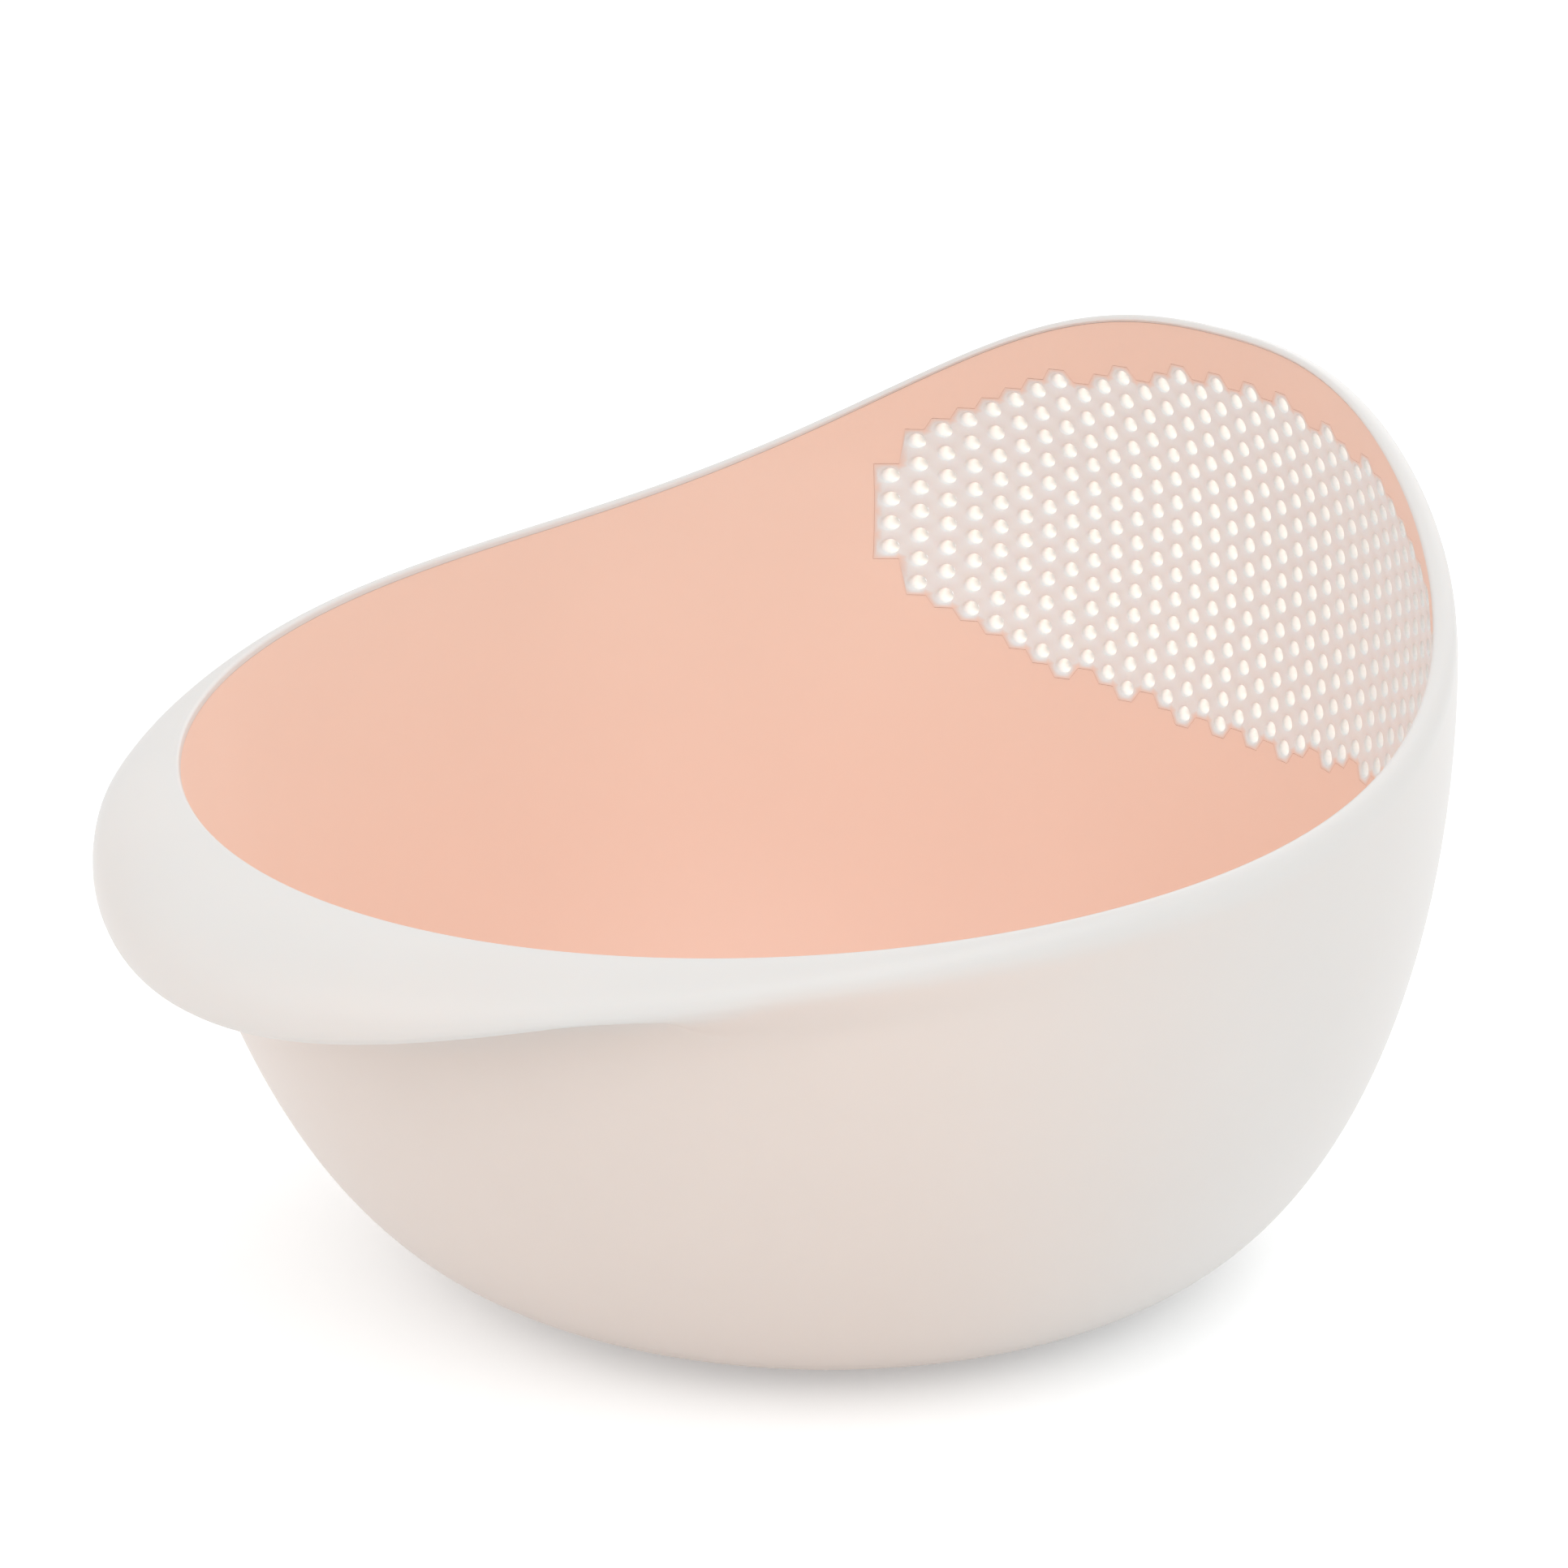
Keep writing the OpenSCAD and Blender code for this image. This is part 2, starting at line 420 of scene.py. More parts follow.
class Skin:
    """Points and faces gathered for one mesh."""

    def __init__(self) -> None:
        """Starts with nothing in it."""
        self.points: list[np.ndarray] = []
        self.faces: list[np.ndarray] = []
        self.count = 0

    def add(self, points: np.ndarray) -> np.ndarray:
        """Adds points to the mesh.

        Args:
            points: Points, with their coordinates in the last axis.

        Returns:
            The points' numbers, in the same arrangement.
        """
        flat = points.reshape(-1, 3)
        numbers = np.arange(self.count, self.count + len(flat))
        self.points.append(flat)
        self.count += len(flat)
        return numbers.reshape(points.shape[:-1])

    def band(self, first: np.ndarray, second: np.ndarray) -> None:
        """Joins two closed rings, or two stacks of closed rings, by a band of faces.

        Args:
            first: Point numbers, the ring along the last axis.
            second: Point numbers arranged the same way.
        """
        quads = np.stack(
            [first, np.roll(first, -1, -1), np.roll(second, -1, -1), second], -1
        )
        self.faces.append(quads.reshape(-1, 4))

    def loft(self, grid: np.ndarray, closed: bool, gone: np.ndarray) -> None:
        """Joins neighbouring sections, which run around the body.

        Args:
            grid: Point numbers, sections by points.
            closed: Whether each section's last point joins its first.
            gone: True for each face that is left out, sections by points.
        """
        ahead = np.roll(grid, -1, 0)
        quads = np.stack([grid, ahead, np.roll(ahead, -1, 1), np.roll(grid, -1, 1)], -1)
        kept = ~gone
        if not closed:
            kept[:, -1] = False
        self.faces.append(quads[kept])

    def fan(self, ring: np.ndarray, middle: int) -> None:
        """Joins a closed ring to one point."""
        ahead = np.roll(ring, -1)
        self.faces.append(np.stack([ring, ahead, np.full(len(ring), middle)], -1))

    def knit(
        self, edge: np.ndarray, places: np.ndarray, holes: np.ndarray, window: np.ndarray
    ) -> None:
        """Fills the face between an outer edge, round holes and a window.

        Args:
            edge: Point numbers of the outer edge in order.
            places: Flat places of all points so far, by point number.
            holes: Point numbers of round holes, one row each.
            window: Point numbers of a window's edge in order, or none.
        """
        loops = [edge, *holes] + ([window] if len(window) else [])
        numbers = np.concatenate(loops)
        owner = np.concatenate([np.full(len(loop), i) for i, loop in enumerate(loops)])
        flat = places[numbers]
        lines, start = [], 0
        for loop in loops:
            size = len(loop)
            lines += [(start + i, start + (i + 1) % size) for i in range(size)]
            start += size
        result = delaunay_2d_cdt([Vector(p) for p in flat], lines, [], 0, MEETING)
        source = np.array([ids[0] for ids in result[3]])
        triangles = source[np.array(result[2])]
        centres = flat[triangles].mean(axis=1)
        kept = in_polygon(centres, places[edge])
        same = (owner[triangles] == owner[triangles[:, :1]]).all(axis=1)
        whose = owner[triangles[:, 0]]
        kept &= ~(same & (whose > 0) & (whose <= len(holes)))
        if len(window):
            kept &= ~in_polygon(centres, places[window])
        settle_slivers(flat, triangles, kept)
        self.faces.append(numbers[triangles[kept]])

    def all_points(self) -> np.ndarray:
        """All points so far, one row each."""
        return np.concatenate(self.points)

    def mesh(self, name: str, marks: dict[str, np.ndarray]) -> bpy.types.Object:
        """Makes the object, in metres, with smooth faces and sharp edges where it bends.

        Args:
            name: Name of the piece.
            marks: A value for each point under each attribute's name.

        Returns:
            The new object.
        """
        points = self.all_points() * MM
        faces = [face for group in self.faces for face in group.tolist()]
        data = bpy.data.meshes.new(name)
        data.from_pydata(points.tolist(), [], faces)
        for mark, values in marks.items():
            layer = data.attributes.new(mark, "FLOAT", "POINT")
            layer.data.foreach_set("value", values.astype(np.float32))
        work = bmesh.new()
        work.from_mesh(data)
        bmesh.ops.recalc_face_normals(work, faces=work.faces)
        for face in work.faces:
            face.smooth = True
        work.to_mesh(data)
        work.free()
        data.set_sharp_from_angle(angle=math.radians(SHARP_DEGREES))
        data.validate()
        made = bpy.data.objects.new(name, data)
        bpy.context.scene.collection.objects.link(made)
        return made


def open_zone(grid: np.ndarray, inside: np.ndarray) -> tuple[np.ndarray, np.ndarray]:
    """Finds the faces of a loft that touch a zone, and the edge around them.

    Args:
        grid: Point numbers, sections by points.
        inside: True for each point in the zone.

    Returns:
        The faces that go, sections by points, and the edge's point numbers in order.
    """
    touched = inside | np.roll(inside, -1, 0)
    gone = touched | np.roll(touched, -1, 1)
    gone[:, -1] = False
    ahead, above = np.roll(grid, -1, 0), np.roll(grid, -1, 1)
    corner = np.stack([grid, ahead, np.roll(ahead, -1, 1), above], -1)[gone]
    sides = np.stack([corner, np.roll(corner, -1, -1)], -1).reshape(-1, 2)
    known = {tuple(side) for side in sides.tolist()}
    follow = {a: b for a, b in known if (b, a) not in known}
    first = next(iter(follow))
    edge, at = [first], follow[first]
    while at != first:
        edge.append(at)
        at = follow[at]
    return gone, np.array(edge)


@dataclass(frozen=True)
class Plastic:
    """A moulded plastic's finish.

    Each tint is a colour that lies over the plain one where an attribute of the mesh, named
    first, is 1. The lit colour and its shine are painted light: a brighter colour and a glow
    on marked points, standing in for light that comes through thin plastic.
    """

    name: str
    colour: Colour
    tints: tuple[tuple[str, Colour], ...]
    roughness: float
    roughness_spread: float
    grain_mm: float
    grain_depth: float
    mottle_mm: float
    mottle: float
    through: float
    through_mm: float
    through_radius: tuple[float, float, float] = (1.0, 0.72, 0.55)
    ior: float = 1.48
    specular: float = 0.42
    bump: float = 0.5
    lit: Colour = BLACK
    shine: float = 0.0

    def marked(
        self,
        tree: bpy.types.NodeTree,
        mark: str,
        base: bpy.types.NodeSocket | Colour,
        other: Colour,
    ) -> bpy.types.NodeSocket:
        """Mixes a second colour over a base by an attribute of the mesh.

        Args:
            tree: The material's node tree.
            mark: Name of the attribute.
            base: The colour where the attribute is 0, or the socket that gives it.
            other: The colour where the attribute is 1.

        Returns:
            The mixed colour's socket.
        """
        value = tree.nodes.new("ShaderNodeAttribute")
        value.attribute_name = mark
        blend = tree.nodes.new("ShaderNodeMix")
        blend.data_type = "RGBA"
        if isinstance(base, tuple):
            blend.inputs["A"].default_value = base
        else:
            tree.links.new(base, blend.inputs["A"])
        blend.inputs["B"].default_value = other
        tree.links.new(value.outputs["Fac"], blend.inputs["Factor"])
        return blend.outputs["Result"]

    def material(self) -> bpy.types.Material:
        """Builds the material with its nodes.

        Returns:
            The material.
        """
        made = bpy.data.materials.new(self.name)
        made.use_nodes = True
        tree = made.node_tree
        nodes, links = tree.nodes, tree.links
        nodes.clear()
        out = nodes.new("ShaderNodeOutputMaterial")
        shader = nodes.new("ShaderNodeBsdfPrincipled")
        links.new(shader.outputs["BSDF"], out.inputs["Surface"])
        shader.inputs["IOR"].default_value = self.ior
        shader.inputs["Specular IOR Level"].default_value = self.specular
        shader.inputs["Subsurface Weight"].default_value = self.through
        shader.inputs["Subsurface Scale"].default_value = self.through_mm * MM
        shader.inputs["Subsurface Radius"].default_value = self.through_radius
        moulded = nodes.new("ShaderNodeGroup")
        moulded.node_tree = moulded_surface()
        moulded.inputs["Grain size"].default_value = self.grain_mm * MM
        moulded.inputs["Mottle size"].default_value = self.mottle_mm * MM
        moulded.inputs["Mottle"].default_value = self.mottle
        moulded.inputs["Roughness"].default_value = self.roughness
        moulded.inputs["Roughness spread"].default_value = self.roughness_spread
        colour = self.colour
        for mark, tint in self.tints:
            colour = self.marked(tree, mark, colour, tint)
        # Painted light: marked points get a brighter colour and a glow, in place of light
        # through thin plastic.
        if self.shine:
            colour = self.marked(tree, "bright", colour, self.lit)
            glow = self.marked(tree, "bright", BLACK, self.lit)
            links.new(glow, shader.inputs["Emission Color"])
            shader.inputs["Emission Strength"].default_value = self.shine
        links.new(colour, moulded.inputs["Colour"])
        links.new(moulded.outputs["Colour"], shader.inputs["Base Color"])
        links.new(moulded.outputs["Roughness"], shader.inputs["Roughness"])
        bump = nodes.new("ShaderNodeBump")
        bump.inputs["Strength"].default_value = self.bump
        bump.inputs["Distance"].default_value = self.grain_depth * MM
        links.new(moulded.outputs["Height"], bump.inputs["Height"])
        links.new(bump.outputs["Normal"], shader.inputs["Normal"])
        return made


def math_node(
    tree: bpy.types.NodeTree,
    operation: str,
    first: bpy.types.NodeSocket | float,
    second: bpy.types.NodeSocket | float,
) -> bpy.types.NodeSocket:
    """Adds a Math node.

    Args:
        tree: The node tree that gets it.
        operation: Name of the operation.
        first: Socket or number for the first input.
        second: Socket or number for the second input.

    Returns:
        The result's socket.
    """
    node = tree.nodes.new("ShaderNodeMath")
    node.operation = operation
    for place, given in enumerate((first, second)):
        if isinstance(given, float):
            node.inputs[place].default_value = given
        else:
            tree.links.new(given, node.inputs[place])
    return node.outputs[0]


def moulded_surface() -> bpy.types.ShaderNodeTree:
    """Builds, once, the group that gives a moulded face its grain and uneven tone.

    Returns:
        The node group.
    """
    name = "moulded_surface"
    if name in bpy.data.node_groups:
        return bpy.data.node_groups[name]
    noise_roughness, grain_detail, mottle_detail = 0.55, 3.0, 4.0
    tree = bpy.data.node_groups.new(name, "ShaderNodeTree")
    face = tree.interface
    face.new_socket("Colour", in_out="INPUT", socket_type="NodeSocketColor")
    for label in ("Grain size", "Mottle size", "Mottle", "Roughness", "Roughness spread"):
        face.new_socket(label, in_out="INPUT", socket_type="NodeSocketFloat")
    face.new_socket("Colour", in_out="OUTPUT", socket_type="NodeSocketColor")
    face.new_socket("Roughness", in_out="OUTPUT", socket_type="NodeSocketFloat")
    face.new_socket("Height", in_out="OUTPUT", socket_type="NodeSocketFloat")
    nodes, links = tree.nodes, tree.links
    given = nodes.new("NodeGroupInput")
    result = nodes.new("NodeGroupOutput")
    place = nodes.new("ShaderNodeTexCoord")

    def noise(size: str, detail: float) -> bpy.types.NodeSocket:
        """Adds noise with spots of a size that an input of the group gives.

        Args:
            size: Name of the input.
            detail: Number of finer layers.

        Returns:
            The noise's socket.
        """
        made = nodes.new("ShaderNodeTexNoise")
        made.inputs["Detail"].default_value = detail
        made.inputs["Roughness"].default_value = noise_roughness
        links.new(place.outputs["Object"], made.inputs["Vector"])
        scale = math_node(tree, "DIVIDE", 1.0, given.outputs[size])
        links.new(scale, made.inputs["Scale"])
        return made.outputs["Fac"]

    grain = noise("Grain size", grain_detail)
    spots = noise("Mottle size", mottle_detail)

    def spread(amount: str) -> bpy.types.NodeSocket:
        """The spots, moved to lie around 0 and scaled by an input of the group."""
        middle = math_node(tree, "SUBTRACT", spots, 0.5)
        return math_node(tree, "MULTIPLY", middle, given.outputs[amount])

    rough = math_node(tree, "ADD", given.outputs["Roughness"], spread("Roughness spread"))
    links.new(rough, result.inputs["Roughness"])
    tone = math_node(tree, "ADD", 1.0, spread("Mottle"))
    tinted = nodes.new("ShaderNodeVectorMath")
    tinted.operation = "SCALE"
    links.new(given.outputs["Colour"], tinted.inputs[0])
    links.new(tone, tinted.inputs["Scale"])
    links.new(tinted.outputs[0], result.inputs["Colour"])
    links.new(grain, result.inputs["Height"])
    return tree


WHITE_PLASTIC = Plastic(
    name="white_plastic",
    colour=linear(229, 226, 223),
    tints=(
        # Warm tint: the pink liner showing through, and painted shade on the lip and under
        # it.
        ("backing", linear(236, 221, 212)),
        ("web", linear(238, 243, 244)),
        ("border", linear(250, 220, 204)),
    ),
    roughness=0.36,
    roughness_spread=0.12,
    grain_mm=0.9,
    grain_depth=0.02,
    mottle_mm=34.0,
    mottle=0.05,
    through=0.12,
    through_mm=3.0,
    # Painted light: the walls of the drain holes get this bright colour and glow.
    lit=linear(255, 250, 244),
    shine=0.28,
)

PINK_PLASTIC = Plastic(
    name="pink_plastic",
    colour=linear(250, 220, 204),
    # Painted shade: the pink is darker and more saturated deeper in the bowl.
    tints=(("depth", linear(249, 214, 197)),),
    roughness=0.42,
    roughness_spread=0.12,
    grain_mm=0.9,
    grain_depth=0.02,
    mottle_mm=40.0,
    mottle=0.05,
    through=0.1,
    through_mm=3.0,
)


@dataclass(frozen=True)
class ShowThroughAndShade:
    """How the pink liner shows through the white wall, with painted shade in the same tint.

    On the lip, which has no liner behind it, the tint is painted shade on its lower part. On
    the wall it is the liner showing through, made stronger towards the handle and under the
    lip as painted shade. Depths are measured down from the lip's edge, or the rim's beside
    it.
    Turns are in degrees from the drain wall, and the handle is at 180.
    """

    lip_painted_shade: float = 0.36
    lip_depth: Ramp = Ramp(-14.0, 12.0)
    lip_turn: Ramp = Ramp(145.0, 20.0)
    handle_turn: Ramp = Ramp(130.0, 15.0)
    wall_start: float = -2.2
    wall_span: float = 4.2
    handle_start: float = 1.2
    handle_span: float = 3.3
    back_share: float = 0.15
    front_turn: Ramp = Ramp(80.0, 48.0)
    drain_gap: Ramp = Ramp(1.0, 0.3)
    outer_skin: float = 0.5

    def share(self, below: np.ndarray, turn: np.ndarray, drain: np.ndarray) -> np.ndarray:
        """Share of the warm tint in the outer wall: the liner showing through, and painted
        shade.

        Args:
            below: Depths of the points.
            turn: Turns of the points.
            drain: Distances from the field's middle, 1 on the edge of the drain holes.

        Returns:
            A share for each point.
        """
        # Painted shade: the lip's lower part is tinted darker and warmer, though no liner
        # lies behind it.
        lip = self.lip_painted_shade * self.lip_depth.at(below) * self.lip_turn.at(turn)
        near = self.handle_turn.at(turn)
        span = self.wall_span + self.handle_span * near
        wall = ease((below - self.wall_start - self.handle_start * near) / span)
        # Painted shade: the tint is kept low towards the drain wall and grows towards the
        # handle.
        front = self.back_share + (1.0 - self.back_share) * self.front_turn.at(turn)
        return np.maximum(lip, wall) * front * self.drain_gap.at(drain)


@dataclass(frozen=True)
class OuterShell:
    """The white shell with its curled handle lip and its perforated drain wall."""

    body: BodyForm = field(default_factory=BodyForm)
    drain: DrainField = field(default_factory=DrainField)
    tint: ShowThroughAndShade = field(default_factory=ShowThroughAndShade)
    rim_edge: float = 0.7
    rim_drop: float = 4.0
    lip_reach: float = 18.7
    lip_drop: float = 15.4
    lip_t: float = 2.2
    reach_angle: float = 99.0
    drop_angle: float = 67.0
    reach_fade: float = 5.8
    drop_fade: float = 5.0
    blend_h: float = 8.0
    lip_opening: Ramp = Ramp(2.3, 2.4)
    bore_shares: tuple[float, ...] = (0.3, 0.5, 0.7)
    lit_loss: float = 0.3
    lit_fade: Ramp = Ramp(-10.0, 75.0)
    wall_rows: int = 54
    hidden_rows: int = 16
    stem_steps: int = 3
    under_steps: int = 9
    round_steps: int = 5
    top_steps: int = 16
    edge_steps: int = 4

    def fade(self, angle: np.ndarray, span: float, power: float) -> np.ndarray:
        """A share that is 1 at the handle and fades out at an angle from it."""
        away = (180.0 - np.degrees(angle)) / span
        return np.maximum(0.0, 1.0 - away**2) ** power

    def lip_down(self, angle: np.ndarray) -> np.ndarray:
        """Drop from the rim to the edge of the lip, or of the rounded rim beside it."""
        falling = self.fade(angle, self.drop_angle, self.drop_fade)
        return self.rim_drop + (self.lip_drop - self.rim_drop) * falling

    def profiles(self, angle: np.ndarray) -> tuple[np.ndarray, int, int]:
        """Half sections of the shell, from its lower edge round to its seat.

        Args:
            angle: One angle for each section.

        Returns:
            Radii and heights, sections by points by 2, the number of the point at the
            lip's edge, and the number of the first point of the inner wall.
        """
        body = self.body
        reach = self.lip_reach * self.fade(angle, self.reach_angle, self.reach_fade)
        down = self.lip_down(angle)
        rim = body.rim(angle)
        edge_z = rim - down
        edge_r = body.radius(edge_z, 0.0) + reach
        share = self.lip_opening.at(reach / self.lip_t)
        bead = self.lip_t / 2.0 * share
        mid_z = edge_z + bead
        inner_r = body.radius(rim, body.full_t)
        top_r = inner_r + self.rim_edge
        band_z = rim - body.band_h
        hollow_w = np.maximum(edge_r - top_r - self.lip_t, self.rim_edge)
        hollow_h = down - self.lip_t - bead
        wall_w = body.radius(mid_z + hollow_h, 0.0) - top_r
        reach_up = np.arccos(np.clip(wall_w / hollow_w, 0.0, 1.0))
        root_z = edge_z - self.blend_h
        roof_z = mid_z + hollow_h * np.sin(reach_up)

        wall_z = body.heights(0.0, root_z, self.wall_rows)
        wall = np.stack([body.radius(wall_z, 0.0), wall_z], -1)

        opened = []
        for step in range(1, self.stem_steps + 1):
            z = root_z + (roof_z - root_z) * step / (self.stem_steps + 1)
            opened.append(np.stack([body.radius(z, 0.0), z], -1))
        for step in range(self.under_steps, -1, -1):
            turn = reach_up * step / self.under_steps
            r = top_r + hollow_w * np.cos(turn)
            opened.append(np.stack([r, mid_z + hollow_h * np.sin(turn)], -1))
        for step in range(1, self.round_steps):
            turn = math.pi * (1.0 - step / self.round_steps)
            r = edge_r - bead + bead * math.cos(turn)
            opened.append(np.stack([r, mid_z - bead * math.sin(turn)], -1))
        opened = np.stack(opened, 1)
        rows = opened.shape[1]
        shut_z = root_z[:, None] + (edge_z - root_z)[:, None] * (
            np.arange(1, rows + 1) / (rows + 1)
        )
        climb = ease(np.arange(1, rows + 1) / (rows + 1))
        shut = np.stack([body.radius(shut_z, 0.0) + reach[:, None] * climb, shut_z], -1)
        under = shut + (opened - shut) * share[:, None, None]

        turn = np.linspace(0.0, math.pi / 2.0, self.top_steps + 1)[None, :]
        over = np.stack(
            [
                top_r[:, None] + (edge_r - top_r)[:, None] * np.cos(turn),
                mid_z[:, None] + (rim - mid_z)[:, None] * np.sin(turn),
            ],
            -1,
        )
        turn = np.linspace(0.0, math.pi / 2.0, self.edge_steps + 1)[None, 1:]
        inner_edge = np.stack(
            [
                top_r[:, None] - self.rim_edge * np.sin(turn),
                rim[:, None] - self.rim_edge * (1.0 - np.cos(turn)),
            ],
            -1,
        )
        band = np.stack([body.radius(band_z, body.full_t), band_z], -1)[:, None]
        hidden_z = body.heights(body.shell_t, band_z, self.hidden_rows)[:, :0:-1]
        hidden = np.stack([body.radius(hidden_z, body.shell_t), hidden_z], -1)
        seat = np.tile(
            [[body.foot_r + body.seat_w, body.shell_t], [body.foot_r, body.shell_t]],
            (len(angle), 1, 1),
        )
        parts = [wall, under, over, inner_edge, band, hidden, seat]
        edge_at = wall.shape[1] + under.shape[1]
        inner_at = edge_at + over.shape[1] + inner_edge.shape[1] + 1
        return np.concatenate(parts, 1), edge_at, inner_at

    def build(self) -> bpy.types.Object:
        """Makes the shell with all its drain holes.

        Returns:
            The piece.
        """
        body, drain = self.body, self.drain
        angle = body.angles()
        profile, edge_at, inner_at = self.profiles(angle)
        spots = body.place(angle, profile)
        skin = Skin()
        grid = skin.add(spots)
        gone = np.zeros(grid.shape, bool)
        inside = drain.nearness(spots, drain.clear_w, drain.clear_h) < 1.0
        outer = slice(0, edge_at + 1)
        inner = slice(inner_at, inner_at + self.hidden_rows)
        gone[:, outer], outer_edge = open_zone(grid[:, outer], inside[:, outer])
        gone[:, inner], inner_edge = open_zone(grid[:, inner], inside[:, inner])
        skin.loft(grid, True, gone)

        turn = np.arange(drain.hole_sides) * (2.0 * math.pi / drain.hole_sides)
        round_hole = np.stack([np.cos(turn), np.sin(turn)], -1)
        centres = drain.holes()[:, None, :]
        depths = drain.rings()
        rear = [(r, body.full_t - depth) for r, depth in reversed(depths)]
        depths += [(drain.hole_d / 2.0, body.full_t * share) for share in self.bore_shares]
        depths += rear
        rings = [
            skin.add(drain.on_wall(centres + r * round_hole, depth)) for r, depth in depths
        ]
        for first, second in zip(rings, rings[1:]):
            skin.band(first, second)

        border = drain.outline(0.0)
        pad = skin.add(drain.on_wall(border, body.full_t))
        step = skin.add(drain.on_wall(border, body.shell_t))
        skin.band(pad, step)
        places = drain.places_of(skin.all_points())
        none = np.zeros(0, int)
        skin.knit(outer_edge, places, rings[0], none)
        skin.knit(pad, places, rings[-1], none)
        skin.knit(inner_edge, places, none, step)
        web, border_mark, bright = (np.zeros(skin.count) for _ in range(3))
        # Painted light on the hole walls, strongest in the middle of each bore, with painted
        # shade that dims it towards +X.
        shade = 1.0 - self.lit_loss * self.lit_fade.at(drain.holes()[:, :1])
        half = body.full_t / 2.0
        lit_depth = Ramp(drain.hole_edge, half - drain.hole_edge)
        for ring, (_, depth) in zip(rings, depths):
            bright[ring] = shade * lit_depth.at(min(depth, body.full_t - depth))
            web[ring] = float(depth > half)
        border_mark[pad] = border_mark[step] = 1.0
        # The warm tint is the liner showing through and partly painted shade.
        marks = {
            "backing": self.backing(skin.all_points()),
            "web": web,
            "border": border_mark,
            "bright": bright,
        }
        return skin.mesh("white_shell", marks)

    def backing(self, points: np.ndarray) -> np.ndarray:
        """How much warm tint lies on each point: the pink liner showing through the white
        wall, and painted shade on the lip's lower part and under it.

        Args:
            points: Points in the part's frame.

        Returns:
            A share for each point: 0 inside the shell, on the rim and on the drain wall,
            and low on the lip, where it is painted shade.
        """
        body, drain = self.body, self.drain
        height = points[:, 2] - body.foot_h
        middle = body.middle_y(height)
        angle = np.arctan2(points[:, 0], points[:, 1] - middle) % (2.0 * math.pi)
        below = body.rim(angle) - self.lip_down(angle) - height
        turn = np.degrees(np.arccos(np.cos(angle)))
        near_drain = drain.nearness(points, drain.field_w, drain.field_h)
        radial = np.hypot(points[:, 0], points[:, 1] - middle)
        outside = radial > body.radius(height, 0.0) - self.tint.outer_skin
        return self.tint.share(below, turn, near_drain) * outside

    def dress(self, piece: bpy.types.Object) -> None:
        """Gives the piece its plastic and its place in the model.

        Args:
            piece: The piece that build made.
        """
        piece.data.materials.append(WHITE_PLASTIC.material())
        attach(piece, "root")
        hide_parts("outer_shell")


